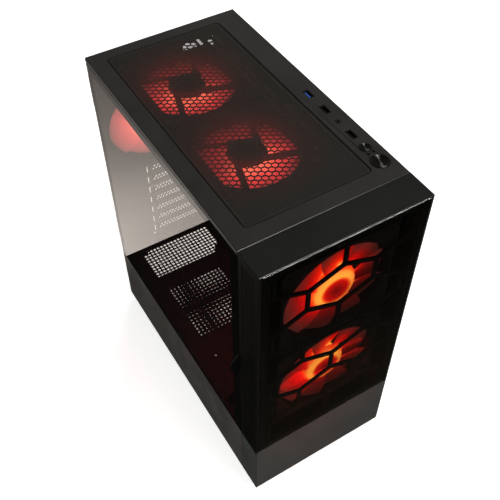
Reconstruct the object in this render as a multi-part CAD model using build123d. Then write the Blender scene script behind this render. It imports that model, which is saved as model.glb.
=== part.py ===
from build123d import *
import math
import os

os.makedirs("parts", exist_ok=True)

# ---------------------------------------------------------------------------
# Compact mid-tower computer case, millimetres, +Z up, front towards -Y,
# glass side towards -X.  Shapes are drawn with the underside of the casing
# at z = 0 and the front glass at y = -DEPTH/2, then moved so that the
# origin is the bottom centre of the whole box.
# ---------------------------------------------------------------------------

# driving dimensions of the casing
WIDTH = 205.0            # outside, over both side panels
DEPTH = 395.0            # front glass face to rear wall face
HEIGHT = 456.0           # casing without feet
FOOT_H = 12.0            # foot and pad
REAR_OUT = 8.2           # grip tabs and screw heads behind the rear wall
STRAP_OUT = 12.1         # pull strap beyond the glass
SHEET = 1.0              # steel sheet
FRONT_DEEP = 37.5        # depth of the front panel
SKIRT_H = 100.0          # height of the steel skirt below the side glass
BAND_H = 105.5           # height of the painted band below the front glass
SHROUD_Z = 96.0          # top face of the power-supply shroud
ROOF_Z = 452.4           # top face of the perforated roof

# fans
FAN_T = 25.0
TOP_FAN_X = -19.5
TOP_FAN_Y = (94.4, -40.1)
FRONT_FAN_X = 0.0
FRONT_FAN_Z = (359.0, 211.0)
REAR_FAN = (-38.0, 351.5)
S120, S140 = 52.5, 62.25         # half hole spacing of the two fan sizes

# rear wall
IO_X = (27.3, 71.75)             # port aperture 44.45 x 158.75
IO_Z = (271.0, 429.75)
SLOT_Z0, SLOT_PITCH, SLOT_N = 247.0, 20.32, 7
PSU_C = (-0.5, 46.5)             # centre of the power-supply face

# motherboard standoffs (full-size board hole grid)
TRAY_X = 72.0
STAND_H = 6.5
MB_Y0, MB_Z0 = 184.8, 413.0
MB_DY = (0.0, 154.94, 227.33)
MB_DZ = (0.0, 157.48, 281.94)

# ports and buttons on the top, all on one line
IO_LINE = 86.0
USB3_Y, USB2_Y, JACK_Y = 0.5, (-31.9, -80.9), -56.2
RESET_Y, POWER_Y = -105.0, -130.4
LED_POS = ((89.0, -114.8), (82.8, -115.2))
POWER_R, RESET_R = 10.2, 6.2
BUTTON_GAP = 0.3

# top filter recess
REC_X = (-82.0, 71.0)
REC_Y = (-139.0, 181.0)
REC_R = 6.0

XL, XR = -WIDTH / 2, WIDTH / 2
YF, YR = -DEPTH / 2, DEPTH / 2
SEAM = YF + FRONT_DEEP
SHIFT = Pos(STRAP_OUT / 2, -REAR_OUT / 2, FOOT_H)


# ------------------------------------------------------------------ helpers
def bx(x0, x1, y0, y1, z0, z1):
    return Pos((x0 + x1) / 2, (y0 + y1) / 2, (z0 + z1) / 2) * Box(x1 - x0, y1 - y0, z1 - z0)


def at(axis, u, v, w):
    if axis == "z":
        return (u, v, w)
    if axis == "y":
        return (u, w, v)
    return (w, u, v)


def rect(u0, u1, v0, v1):
    return [(u0, v0), (u1, v0), (u1, v1), (u0, v1)]


def rrect(u0, u1, v0, v1, r, n=6):
    pts = []
    for cu, cv, a0 in ((u1 - r, v0 + r, -90), (u1 - r, v1 - r, 0), (u0 + r, v1 - r, 90), (u0 + r, v0 + r, 180)):
        for i in range(n + 1):
            a = math.radians(a0 + 90 * i / n)
            pts.append((cu + r * math.cos(a), cv + r * math.sin(a)))
    return pts


def ngon(u, v, r, n=6, turn=0.0):
    return [(u + r * math.cos(math.radians(turn + 360 * i / n)), v + r * math.sin(math.radians(turn + 360 * i / n))) for i in range(n)]


def plate(axis, outer, holes, w0, w1, rounds=()):
    """Flat sheet normal to an axis, with polygon holes and round holes (u, v, r)."""
    def wire(pts):
        return Wire.make_polygon([at(axis, u, v, w0) for u, v in pts], close=True)
    direction = at(axis, 0, 0, w1 - w0)
    inner = [wire(h) for h in holes]
    for u, v, r in rounds:
        pl = Plane(origin=at(axis, u, v, w0), z_dir=at(axis, 0, 0, 1))
        inner.append(Wire([Edge.make_circle(r, pl)]))
    return Solid.extrude(Face(wire(outer), inner), direction)


def cyl(axis, u, v, w0, w1, r):
    pl = Plane(origin=at(axis, u, v, w0), z_dir=at(axis, 0, 0, 1))
    return pl * Cylinder(r, w1 - w0, align=(Align.CENTER, Align.CENTER, Align.MIN))


def turned(pts):
    """Solid of revolution about Z from (radius, z) points."""
    face = Face(Wire.make_polygon([(r, 0, z) for r, z in pts], close=True))
    return revolve(face, Axis.Z, 360)


def fuse(first, *rest):
    out = first
    for r in rest:
        out = out + r
    return out


SAVED = {}


def save(name, *shapes):
    solids = []
    for s in shapes:
        solids += list(s.solids())
    moved = [SHIFT * s for s in solids]
    obj = moved[0] if len(moved) == 1 else Compound(children=moved)
    obj.label = name
    export_step(obj, f"parts/{name}.step")
    SAVED[name] = len(moved)


# --------------------------------------------------------------- rear wall
def slot_z(k):
    return SLOT_Z0 - SLOT_PITCH * k


TAB_Z = (404.0, 158.0)           # centres of the door hinges and of the right panel's grip tabs
HINGE = (-98.0, YR + 4.0)        # upright axis of the glass door
TAB_H = 45.0
SCREW_X = 91.0
SCREW_UP = 13.0                  # thumb screw above the tab centre, clear of the fan corner
holes = [rect(*IO_X, *IO_Z)]
rounds = []
fx, fz = REAR_FAN
pitch = 7.6
for i in range(-9, 10):
    for j in range(-9, 10):
        u = fx + i * pitch * math.sqrt(3) / 2
        v = fz + j * pitch + (pitch / 2 if i % 2 else 0)
        if math.hypot(u - fx, v - fz) < 55.0:
            holes.append(ngon(u, v, 3.55))
for sx in (-1, 1):
    for sz in (-1, 1):
        rounds.append((fx + sx * S120, fz + sz * S120, 2.2))
for k in range(SLOT_N):
    z = slot_z(k)
    holes.append(rect(-44.2, 58.0, z - 6.5, z + 6.5))
    holes.append(rect(-49.7, -48.3, z - 6.6, z + 6.6))
px, pz = PSU_C
holes.append([(px - 60, pz - 42.5), (px + 60, pz - 42.5), (px + 60, pz - 24), (px + 71, pz - 24), (px + 71, pz + 20), (px + 60, pz + 20),
              (px + 60, pz + 39), (px - 60, pz + 39), (px - 60, pz + 24), (px - 71, pz + 24), (px - 71, pz - 24), (px - 60, pz - 24)])
PSU_HOLES = ((px - 69, pz - 37), (px + 69, pz - 37), (px - 69, pz + 37), (px + 69, pz + 27))
for u, v in PSU_HOLES:
    rounds.append((u, v, 1.9))
holes.append(rect(-70.0, -50.0, 266.8, 268.4))
holes.append(ngon(-94.5, 291.0, 1.7))
holes.append(ngon(-44.0, 113.0, 1.7))
for z in TAB_Z:
    rounds.append((SCREW_X, z + SCREW_UP, 2.0))
save("rear_panel", plate("y", rect(-98.0, 98.0, 0.0, ROOF_Z - SHEET), holes, YR - SHEET, YR, rounds))

# slot covers: perforated plates with a bent tab that passes out to the shelf
covers, screws = [], []
for k in range(SLOT_N):
    z = slot_z(k)
    hh = []
    for i in range(17):
        for row in (0, 1):
            u = -33.0 + 5.2 * i + (2.6 if row else 0.0)
            if u < 54.0:
                hh.append(ngon(u, z + (2.3 if row else -2.3), 1.95, 4))
    # slit beside the perforation; on the third cover it turns along the upper edge
    hh.append(rect(-43.3, -41.8, z - 6.2, z + 6.2) if k != 2 else
              [(-43.3, z - 6.2), (-41.8, z - 6.2), (-41.8, z + 4.9), (10.0, z + 4.9), (10.0, z + 6.2), (-43.3, z + 6.2)])
    flat = plate("y", [(-49.5, z - 5.8), (-46.0, z - 5.8), (-46.0, z - 9.2), (64.0, z - 9.2), (64.0, z + 9.2), (-46.0, z + 9.2), (-46.0, z + 5.8), (-49.5, z + 5.8)],
                 hh, YR - 2 * SHEET, YR - SHEET)
    tab = plate("x", rect(YR - SHEET, YR + 7.6, z - 5.8, z + 5.8), [], -49.5, -48.5, [(YR + 4.2, z, 1.9)])
    covers.append(fuse(flat, tab))
    screws.append(fuse(cyl("x", YR + 4.2, z, -52.1, -49.5, 3.2), cyl("x", YR + 4.2, z, -49.5, -44.4, 1.6)))
save("slot_covers", *covers)
save("slot_screws", *screws)
zlo, zhi = slot_z(SLOT_N - 1) - 12, slot_z(0) + 12
shelf = plate("x", rect(YR, YR + 7.8, zlo, zhi), [], -48.3, -47.1, [(YR + 4.2, slot_z(k), 1.7) for k in range(SLOT_N)])
foot = bx(-47.1, -44.6, YR, YR + 1.0, zlo, zhi)
save("slot_shelf", fuse(shelf, foot))

# ------------------------------------------------------------ floor of case
holes = []
for i in range(15):
    for j in range(24):
        holes.append(ngon(-49.0 + 7.0 * i, 17.0 + 7.0 * j, 3.25, 4, 45))
save("bottom_panel", plate("z", rect(-97.0, 98.0, SEAM + 0.3, YR - SHEET), holes, 0.0, SHEET))

feet, pads = [], []
for x in (-78.0, 78.0):
    for y in (-138.0, 166.0):
        feet.append(Pos(x, y, 0) * turned([(0, -10.0), (14.5, -10.0), (15.5, -9.0), (17.0, -1.5), (17.0, 0.0), (0, 0.0)]))
        pads.append(cyl("z", x, y, -FOOT_H, -10.0, 12.0))
save("feet", *feet)
save("foot_pads", *pads)

rails = []
for s in (-1, 1):
    x0, x1 = sorted((s * 57.5, s * 59.5))
    l0, l1 = sorted((s * 53.5, s * 59.5))
    rails.append(fuse(bx(x0, x1, 6.0, 190.0, -5.2, 0.0), bx(l0, l1, 6.0, 190.0, -6.2, -5.2)))
save("filter_rails", *rails)
# bottom dust filter: slim frame with a closed mesh field and a pull tab at the rear
frame = plate("z", rect(-57.0, 57.0, 8.0, 188.0), [rect(-51.0, 51.0, 14.0, 182.0)], -4.8, -0.8)
net = plate("z", rect(-51.0, 51.0, 14.0, 182.0), [], -3.1, -2.7)
grip = bx(-22.0, 22.0, 188.0, YR + 1.8, -4.8, -2.8)
save("psu_filter", fuse(frame, grip))
save("psu_filter_mesh", net)

# -------------------------------------------------- front wall behind fans
rounds = []
for cz in FRONT_FAN_Z:
    rounds.append((FRONT_FAN_X, cz, 66.0))
    for sx in (-1, 1):
        for sz in (-1, 1):
            rounds.append((FRONT_FAN_X + sx * S140, cz + sz * S140, 2.2))
PEG_X, PEG_Z = 93.5, (30.0, 228.0, 438.0)
for sx in (-1, 1):
    for z in PEG_Z:
        rounds.append((sx * PEG_X, z, 3.3))
WALL_Y = SEAM - 2.0
wall = plate("y", rect(-98.0, 98.0, SHEET, ROOF_Z - SHEET), [rrect(-92.0, -80.0, 128.0, 146.0, 5.0)], WALL_Y, WALL_Y + SHEET, rounds)
lip = bx(-97.0, 98.0, SEAM + 0.3, SEAM + 14.0, SHEET, 2 * SHEET)
lip2 = bx(-97.0, 98.0, WALL_Y + SHEET, SEAM + 0.3, SHEET, 2 * SHEET)
save("front_wall", fuse(wall, lip2, lip))

# ---------------------------------------------------------------- roof sheet
HEX_DX, HEX_DY, HEX_R = 6.33, 7.25, 3.42
holes = []
for k in range(15):
    u = TOP_FAN_X - 0.3 + HEX_DX * (k - 7)
    for j in range(38):
        v = -101.0 + HEX_DY * j + (HEX_DY / 2 if k % 2 else 0.0)
        if v < 166.0:
            holes.append(ngon(u, v, HEX_R, 6, 0))
SLOT_ROWS = (TOP_FAN_X - S120, TOP_FAN_X + S120)
for u in SLOT_ROWS:
    for cy in TOP_FAN_Y:
        for s in (-1, 1):
            v = cy + s * S120
            reach = 24.0 if v > 100 or v < -90 else 13.0
            holes.append(rrect(u - 2.4, u + 2.4, v - (13.0 if v > -90 else 10.0), v + (reach if v > 100 else 13.0), 1.2, 2))
for j in range(36):
    holes.append(ngon(45.4, -98.0 + HEX_DY * j, HEX_R, 6, 0))
for v in (-84.0, -46.0, -8.0, 30.0, 72.0, 113.0, 151.0):
    holes.append(rrect(52.8, 56.8, v - 14.0, v + 14.0, 1.2, 2))
save("chassis_top", plate("z", rect(-98.0, 74.0, WALL_Y, YR), holes, ROOF_Z - SHEET, ROOF_Z))

# ------------------------------------------------------- outer top with ports
PL0, PL1 = HEIGHT - SHEET, HEIGHT
uh = [rrect(*REC_X, *REC_Y, REC_R, 8)]
for y in (USB3_Y,) + USB2_Y:
    uh.append(rect(IO_LINE - 3.3, IO_LINE + 3.3, y - 7.1, y + 7.1))
rounds = [(IO_LINE, JACK_Y, 3.2), (IO_LINE, RESET_Y, RESET_R + BUTTON_GAP), (IO_LINE, POWER_Y, POWER_R + BUTTON_GAP)]
rounds += [(x, y, 1.3) for x, y in LED_POS]
top = plate("z", rect(XL, XR, SEAM + 0.3, YR), uh, PL0, PL1, rounds)
LEDGE = 5.0
ledge_out = rrect(REC_X[0] - 1.0, REC_X[1] + 1.0, REC_Y[0] - 1.0, REC_Y[1] + 1.0, REC_R + 1.0, 8)
ledge_in = rrect(REC_X[0] + LEDGE, REC_X[1] - LEDGE, REC_Y[0] + LEDGE, REC_Y[1] - LEDGE, REC_R - 4.0, 8)
ring = plate("z", ledge_out, [rrect(*REC_X, *REC_Y, REC_R, 8)], PL0 - 1.6, PL0)
ledge = plate("z", ledge_out, [ledge_in], PL0 - 2.6, PL0 - 1.6)
parts = [top, ring, ledge,
         bx(XL, XL + SHEET, SEAM + 0.3, YR, 450.2, PL0), bx(XR - SHEET, XR, SEAM + 0.3, YR, 450.2, PL0),
         bx(XL + SHEET, XR - SHEET, YR - SHEET, YR, ROOF_Z, PL0),
         bx(XL + SHEET, XR - SHEET, SEAM + 0.3, SEAM + 1.3, ROOF_Z, PL0)]
POSTS = ((81.0, -148.5), (86.0, -68.6), (86.0, 11.6))
BOARD_Z = (437.4, 439.0)
save("top_cover", fuse(*parts))
save("port_posts", *[cyl("z", x, y, BOARD_Z[1], PL0, 2.6) - cyl("z", x, y, BOARD_Z[1] - 1, BOARD_Z[1] + 8.2, 1.25) for x, y in POSTS])

# ports
save("io_board", plate("z", rrect(77.0, 96.0, -152.5, 16.5, 1.5, 3), [], BOARD_Z[0], BOARD_Z[1], [(x, y, 1.4) for x, y in POSTS]))
save("io_screws", *[fuse(cyl("z", x, y, BOARD_Z[0] - 1.8, BOARD_Z[0], 2.6), cyl("z", x, y, BOARD_Z[0], BOARD_Z[1] + 8.0, 1.2)) for x, y in POSTS])


def usb_shell(y):
    shell = bx(IO_LINE - 3.0, IO_LINE + 3.0, y - 6.8, y + 6.8, BOARD_Z[1], HEIGHT - 0.5)
    shell = shell - bx(IO_LINE - 2.6, IO_LINE + 2.6, y - 6.25, y + 6.25, HEIGHT - 12.5, HEIGHT)
    return shell


def usb_tongue(y, top=1.2):
    return bx(IO_LINE - 1.9, IO_LINE - 0.1, y - 5.6, y + 5.6, HEIGHT - 12.5, HEIGHT - top)


save("usb3_socket", usb_shell(USB3_Y))
save("usb3_tongue", usb_tongue(USB3_Y))
save("usb2_sockets", *[fuse(usb_shell(y), usb_tongue(y)) for y in USB2_Y])
jack = fuse(bx(IO_LINE - 3.5, IO_LINE + 3.5, JACK_Y - 3.5, JACK_Y + 3.5, BOARD_Z[1], 453.0), cyl("z", IO_LINE, JACK_Y, 453.0, HEIGHT + 0.3, 2.9))
save("audio_jack", jack - cyl("z", IO_LINE, JACK_Y, HEIGHT - 12.7, HEIGHT + 1.0, 1.8))
save("button_switches", *[fuse(bx(IO_LINE - 3, IO_LINE + 3, y - 3, y + 3, BOARD_Z[1], 442.5), cyl("z", IO_LINE, y, 442.5, 442.8, 1.7)) for y in (RESET_Y, POWER_Y)])
save("light_pipes", *[cyl("z", x, y, BOARD_Z[1], HEIGHT + 0.1, 1.1) for x, y in LED_POS])


def button(r, y):
    pts = [(0, 444.0), (2.6, 444.0), (2.6, 453.2), (r + 1.3, 453.2), (r + 1.3, 454.7), (r, 454.7), (r, HEIGHT + 0.5), (r - 0.5, HEIGHT + 0.9),
           (r - 1.1, HEIGHT + 0.9), (r - 1.7, HEIGHT + 0.45), (0, HEIGHT + 0.1)]
    return Pos(IO_LINE, y, 0) * turned(pts)


save("power_button", button(POWER_R, POWER_Y))
save("reset_button", button(RESET_R, RESET_Y))

# -------------------------------------------------------------- top filter
FT0 = PL0 - 1.6
gap = 1.0
f_out = rrect(REC_X[0] + gap, REC_X[1] - gap, REC_Y[0] + gap, REC_Y[1] - gap, REC_R - gap, 8)
f_in = rrect(REC_X[0] + 4.5, REC_X[1] - 4.5, REC_Y[0] + 4.5, REC_Y[1] - 4.5, REC_R - 4.0, 8)
save("filter_frame", plate("z", f_out, [f_in], FT0, FT0 + 1.5))
save("filter_mesh", plate("z", f_out, [], FT0 + 1.5, FT0 + 2.1))

# ------------------------------------------------- tray, shroud, skirt, cage
holes = [rrect(-2.0, 116.0, 292.0, 404.0, 8.0, 4), rrect(-88.0, -70.0, 300.0, 400.0, 8.0, 4), rrect(-88.0, -70.0, 150.0, 250.0, 8.0, 4),
         rrect(-40.0, 60.0, 101.0, 117.0, 7.0, 4), rrect(90.0, 150.0, 101.0, 117.0, 7.0, 4), rrect(-40.0, 40.0, 428.0, 442.0, 6.0, 4), rrect(90.0, 150.0, 428.0, 442.0, 6.0, 4)]
MB = [(MB_Y0 - dy, MB_Z0 - dz) for dy in MB_DY for dz in MB_DZ]
save("motherboard_tray", plate("x", rect(-150.0, YR - SHEET, SHROUD_Z, ROOF_Z - SHEET), holes, TRAY_X, TRAY_X + SHEET))
save("standoffs", *[plate("x", ngon(y, z, 3.2, 6), [], TRAY_X - STAND_H, TRAY_X, [(y, z, 1.25)]) for y, z in MB])

holes = []
for i in range(19):
    for j in range(10):
        holes.append(ngon(-73.0 + 5.94 * i, 127.5 + 5.8 * j, 2.35, 6))
for i in range(15):
    for j in range(17):
        holes.append(ngon(-70.5 + 5.85 * i, 1.5 + 5.8 * j, 2.2, 4, 45))
holes.append(ngon(-70.0, -40.0, 2.2, 6))
holes.append(rrect(-92.0, -60.0, -120.0, -104.0, 7.0, 4))
top = plate("z", rect(-97.0, TRAY_X + SHEET, WALL_Y + SHEET, YR - SHEET), holes, SHROUD_Z - SHEET, SHROUD_Z)
save("psu_shroud", fuse(top, bx(-97.0, -96.0, SEAM + 14.0, YR - SHEET, SHEET, SHROUD_Z - SHEET)))

skirt = fuse(bx(XL, XL + SHEET, SEAM + 0.3, YR, 0.0, SKIRT_H), bx(XL + SHEET, -98.4, SEAM + 0.3, YR, SKIRT_H - SHEET, SKIRT_H),
             bx(XL + SHEET, -97.0, SEAM + 0.3, YR - SHEET, 0.0, SHEET), bx(XL + SHEET, -98.0, YR - SHEET, YR, 0.0, SKIRT_H - SHEET))
save("left_skirt", skirt)

cage = plate("x", rect(-154.0, -48.0, SHEET + 1.0, 66.0), [rect(-153.0, -49.0, SHEET + 2.0, 65.0)], -80.0, 68.0)
ribs = [bx(-80.0, 68.0, y0, y1, z, z + 1.0) for z in (33.0,) for y0, y1 in ((-153.0, -147.0), (-55.0, -49.0))]
stand = [bx(-80.0, 68.0, -144.0, -136.0, SHEET, SHEET + 1.0), bx(-80.0, 68.0, -66.0, -58.0, SHEET, SHEET + 1.0)]
save("drive_cage", fuse(cage, *ribs, *stand))

rv = []
for x, z in ((-80, 440), (0, 440), (84, 440), (84, 250), (84, 110), (-80, 268), (-80, 106), (-60, 106), (-56, 180), (-56, 236)):
    rv.append(cyl("y", x, z, YR, YR + 0.9, 2.4))
save("rivets", *rv)


# ----------------------------------------------------------------------- fans
def fan(size, half, bore, hub, tip, blades):
    """One fan about +Z: intake face at z = 0, strut and hub-plate face at z = 25."""
    h = size / 2
    corner = [(sx * half, sy * half, 2.15) for sx in (-1, 1) for sy in (-1, 1)]
    out = rrect(-h, h, -h, h, 7.0, 5)
    low = plate("z", out, [], 0.0, 4.0, corner + [(0, 0, bore)])
    high = plate("z", out, [], FAN_T - 4.0, FAN_T, corner + [(0, 0, bore)])
    tube = cyl("z", 0, 0, 4.0, FAN_T - 4.0, bore + 2.2) - cyl("z", 0, 0, 3.0, FAN_T - 3.0, bore)
    body = fuse(low, tube, high)
    q = 18.5 if size < 130 else 20.5
    turn = -17.0
    plate_hub = Rot(0, 0, turn) * bx(-q, q, -q, q, FAN_T - 3.0, FAN_T)
    post = cyl("z", 0, 0, 6.0, FAN_T - 3.0, 4.6)
    arms = []
    for k in range(4):
        # one slim arm, three broad ones
        arm = bx(-q, -q + (3.0 if k == 3 else 7.0), -(bore + 1.5), -q, FAN_T - 3.0, FAN_T)
        arms.append(Rot(0, 0, turn + 90 * k) * arm)
    core = fuse(plate_hub, *arms) & cyl("z", 0, 0, FAN_T - 3.0, FAN_T, bore + 1.0)
    frame = fuse(body, core, post) - cyl("z", 0, 0, 5.0, FAN_T - 2.0, 3.0)
    bush = cyl("z", 0, 0, 6.4, FAN_T - 2.2, 3.0) - cyl("z", 0, 0, 5.0, FAN_T, 1.55)
    stator = cyl("z", 0, 0, 7.0, 17.0, hub - 4.0) - cyl("z", 0, 0, 6.0, 18.0, 4.6)
    led = cyl("z", 0, 0, FAN_T - 4.2, FAN_T - 3.0, hub + 1.5) - cyl("z", 0, 0, FAN_T - 5, FAN_T, 4.6)
    # rotor: hub cup, shaft and pitched blades trimmed to the hub and the tip circle
    vanes = []
    for k in range(blades):
        mid = (hub + tip) / 2
        v = Pos(mid, 0, 10.8) * (Rot(36.0, 0, 0) * Box(tip - hub + 14.0, 25.0, 1.5))
        vanes.append(Rot(0, 0, 360.0 * k / blades) * v)
    cup = cyl("z", 0, 0, 1.6, 19.4, hub)
    rot = (fuse(cup, *vanes) & cyl("z", 0, 0, 1.6, 20.0, tip)) - cyl("z", 0, 0, 3.4, 21.0, hub - 1.6)
    rot = rot + cyl("z", 0, 0, 3.0, FAN_T - 3.0, 1.5)
    return frame, bush, stator, led, rot


def screw(axis, u, v, head0, head1, tip0, tip1):
    a = cyl(axis, u, v, min(head0, head1), max(head0, head1), 3.7)
    b = cyl(axis, u, v, min(tip0, tip1), max(tip0, tip1), 2.1)
    return a + b


f120 = fan(120.0, S120, 57.5, 20.5, 56.0, 9)
f140 = fan(140.0, S140, 67.0, 23.0, 65.3, 9)
UP, BACK = Rot(0, 0, 0), Rot(-90, 0, 0)
PLACES = (("top_fan_rear", f120, Pos(TOP_FAN_X, TOP_FAN_Y[0], ROOF_Z - SHEET - FAN_T) * UP),
          ("top_fan_front", f120, Pos(TOP_FAN_X, TOP_FAN_Y[1], ROOF_Z - SHEET - FAN_T) * UP),
          ("rear_fan", f120, Pos(REAR_FAN[0], YR - SHEET - FAN_T, REAR_FAN[1]) * BACK),
          ("front_fan_upper", f140, Pos(FRONT_FAN_X, WALL_Y - FAN_T, FRONT_FAN_Z[0]) * BACK),
          ("front_fan_lower", f140, Pos(FRONT_FAN_X, WALL_Y - FAN_T, FRONT_FAN_Z[1]) * BACK))
bushes, stators, leds = [], [], []
for name, f, place in PLACES:
    save(name + "_frame", place * f[0])
    bushes.append(place * f[1])
    stators.append(place * f[2])
    leds.append(place * f[3])
    save(name + "_rotor", place * f[4])
save("fan_bushes", *bushes)
save("fan_stators", *stators)
save("fan_led_boards", *leds)
scr = []
for cy in TOP_FAN_Y:
    for sx in (-1, 1):
        for sy in (-1, 1):
            scr.append(screw("z", TOP_FAN_X + sx * S120, cy + sy * S120, ROOF_Z, ROOF_Z + 1.7, ROOF_Z - 9.0, ROOF_Z))
for sx in (-1, 1):
    for sz in (-1, 1):
        scr.append(screw("y", REAR_FAN[0] + sx * S120, REAR_FAN[1] + sz * S120, YR, YR + 2.0, YR - 9.0, YR))
        for cz in FRONT_FAN_Z:
            scr.append(screw("y", FRONT_FAN_X + sx * S140, cz + sz * S140, WALL_Y + SHEET, WALL_Y + SHEET + 2.0, WALL_Y - 8.0, WALL_Y + SHEET))
save("fan_screws", *scr)

# --------------------------------------------------------------- side panels
G0, G1 = SKIRT_H + 0.6, 449.9
PY0, PY1 = SEAM + 0.6, YR - 0.2
save("side_glass", bx(XL, XL + 3.0, PY0, PY1, G0, G1))
FX0, FX1 = XL + 3.0, XL + 4.0
ring = plate("x", rect(PY0 + 1.0, PY1, G0 + 0.5, G1 - 0.5), [rrect(PY0 + 16.0, PY1 - 11.0, G0 + 9.0, G1 - 13.0, 3.0, 3)], FX0, FX1)


def tabs(sign, x_out, x_in):
    """Rear screw flanges with an outer grip lip; sign is -1 on the left, +1 on the right."""
    out = []
    for z in TAB_Z:
        a, b = sorted((x_out, sign * 84.0))
        flange = plate("y", rect(a, b, z + 4.5, z + TAB_H / 2), [], YR + 0.3, YR + 1.3, [(sign * SCREW_X, z + SCREW_UP, 2.0)])
        a, b = sorted((x_out, sign * 97.0))
        flange = flange + bx(a, b, YR + 0.3, YR + 1.3, z - TAB_H / 2, z + 4.5)
        a, b = sorted((x_out, x_out - sign * 1.0))
        lip = bx(a, b, YR + 1.3, YR + REAR_OUT, z - TAB_H / 2, z + TAB_H / 2)
        a, b = sorted((x_in, x_in - sign * 1.0))
        neck = bx(a, b, PY1, YR + 0.3, z - TAB_H / 2, z + TAB_H / 2)
        out += [flange, lip, neck]
    return out


def thumb(sign, z):
    x = sign * SCREW_X
    z = z + SCREW_UP
    head = plate("y", ngon(x, z, 5.4, 24), [], YR + 2.1, YR + REAR_OUT - 0.2)
    neck = cyl("y", x, z, YR + 1.5, YR + 2.1, 4.0)
    shank = cyl("y", x, z, YR - 6.0, YR + 1.5, 1.75)
    return fuse(head, neck, shank)


# glass door: two lift-off pin hinges at the rear, knuckles on the door's steel frame
knuckles, brackets = [], []
hx, hy = HINGE
for z in TAB_Z:
    k = fuse(cyl("z", hx, hy, z, z + 22.0, 3.2), bx(FX0, FX1, PY1, hy, z, z + 22.0))
    knuckles.append(k - cyl("z", hx, hy, z - 1.0, z + 20.5, 1.55))
    brackets.append(fuse(cyl("z", hx, hy, z - 22.0, z - 0.4, 3.2), bx(-97.0, -95.2, YR, hy, z - 22.0, z - 0.4), bx(-97.8, -94.6, YR, YR + 1.2, z - 22.0, z - 0.4),
                         cyl("z", hx, hy, z - 0.4, z + 20.0, 1.5)))
save("side_glass_frame", fuse(ring, *knuckles))
save("door_hinges", *brackets)
# limp pull strap that comes out of the seam in front of the glass
outline = [(XL - 0.3, 284.0), (-105.0, 281.8), (-109.6, 276.4), (-112.9, 271.7), (XL - STRAP_OUT, 267.0), (-114.0, 260.0), (-112.2, 252.6), (-109.5, 247.4), (-106.2, 246.8),
           (-104.2, 250.0), (-103.3, 260.0), (XL - 0.3, 268.0)]
strap = plate("y", outline, [], PY0 - 1.2, PY0 + 0.6)
root = bx(XL - 0.3, -98.0, PY0 - 0.3, PY0, 271.0, 283.0)
pad = bx(FX1, -98.0, PY0 - 0.3, PY0 + 10.0, 271.0, 283.0)
save("glass_pull_strap", fuse(strap, root, pad))
pan = fuse(bx(XR - SHEET, XR, PY0, PY1, 0.3, G1), bx(XR - 4.0, XR - SHEET, PY0, PY1, 0.3, 1.3), bx(XR - 4.0, XR - SHEET, PY0, PY1, G1 - SHEET, G1),
           bx(XR - 4.0, XR - SHEET, PY0, PY0 + SHEET, 1.3, G1 - SHEET), *tabs(1, XR, XR))
save("right_side_panel", pan)
save("right_thumbscrew_upper", thumb(1, TAB_Z[0]))
save("right_thumbscrew_lower", thumb(1, TAB_Z[1]))

# --------------------------------------------------------------- front panel
T = 2.5
GX, GZ0, GZ1 = 99.4, BAND_H, HEIGHT - 2.4
shell = bx(XL, XR, YF, SEAM, 0.0, HEIGHT) - bx(XL + T, XR - T, YF + T, SEAM + 1, T, HEIGHT - T)
shell = shell - bx(XL + 0.8, XR - 0.8, SEAM - 2.6, SEAM + 1, 0.8, HEIGHT - 0.8)
# glass seat: a shallow step in front, and a smaller window through
shell = shell - bx(-GX - 0.2, GX + 0.2, YF - 1, YF + T + 1, GZ0 - 0.2, GZ1 + 0.2)
seat = plate("y", rect(-GX - 0.6, GX + 0.6, GZ0 - 3.0, GZ1), [rect(-92.6, 92.6, GZ0 + 6.0, GZ1 - 6.0)], YF + 3.1, YF + 5.1)
VENT_Y = (YF + 8.0, SEAM - 6.0)
VENT_Z = (112.0, 446.5)
for s in (-1, 1):
    x0, x1 = sorted((s * (XR + 1), s * (XR - T - 1)))
    shell = shell - bx(x0, x1, VENT_Y[0], VENT_Y[1], VENT_Z[0], VENT_Z[1])
shelf = bx(XL + 1.0, XR - 1.0, YF + 2.0, YF + 5.1, GZ0 - 5.0, GZ0 - 0.6)
save("front_frame", fuse(shell, seat, shelf))
save("front_glass", bx(-GX, GX, YF, YF + 3.0, GZ0, GZ1))

# squashed honeycomb bars behind the glass
HA, HB, HC, BAR = 42.2, 31.0, 16.6, 4.6
Z_ROW0 = 378.0
GR = (-92.2, 92.2, GZ0 + 6.4, GZ1 - 6.4)
border = 3.0
cells = []
field = (GR[0] + border, GR[1] - border, GR[2] + border, GR[3] - border)


def clip(poly, lo, hi, k):
    """Clip a convex polygon to lo <= coordinate k <= hi."""
    for sgn, lim in ((1, lo), (-1, hi)):
        out = []
        n = len(poly)
        for i in range(n):
            a, b = poly[i], poly[(i + 1) % n]
            da, db = sgn * (a[k] - lim), sgn * (b[k] - lim)
            if da >= 0:
                out.append(a)
            if (da > 0 > db) or (da < 0 < db):
                t = da / (da - db)
                out.append((a[0] + t * (b[0] - a[0]), a[1] + t * (b[1] - a[1])))
        poly = out
        if not poly:
            return []
    return poly


def area(poly):
    return 0.5 * sum(poly[i][0] * poly[(i + 1) % len(poly)][1] - poly[(i + 1) % len(poly)][0] * poly[i][1] for i in range(len(poly)))


def inset_hex(cx, cz, d):
    """Squashed pointy-top hexagon, every side moved in by d."""
    slope = HC / HA
    off = d * math.sqrt(1 + slope * slope)
    a = HA - d
    top = HB / 2 + HC - off
    side = top - slope * a
    return [(cx, cz + top), (cx - a, cz + side), (cx - a, cz - side), (cx, cz - top), (cx + a, cz - side), (cx + a, cz + side)]


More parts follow.
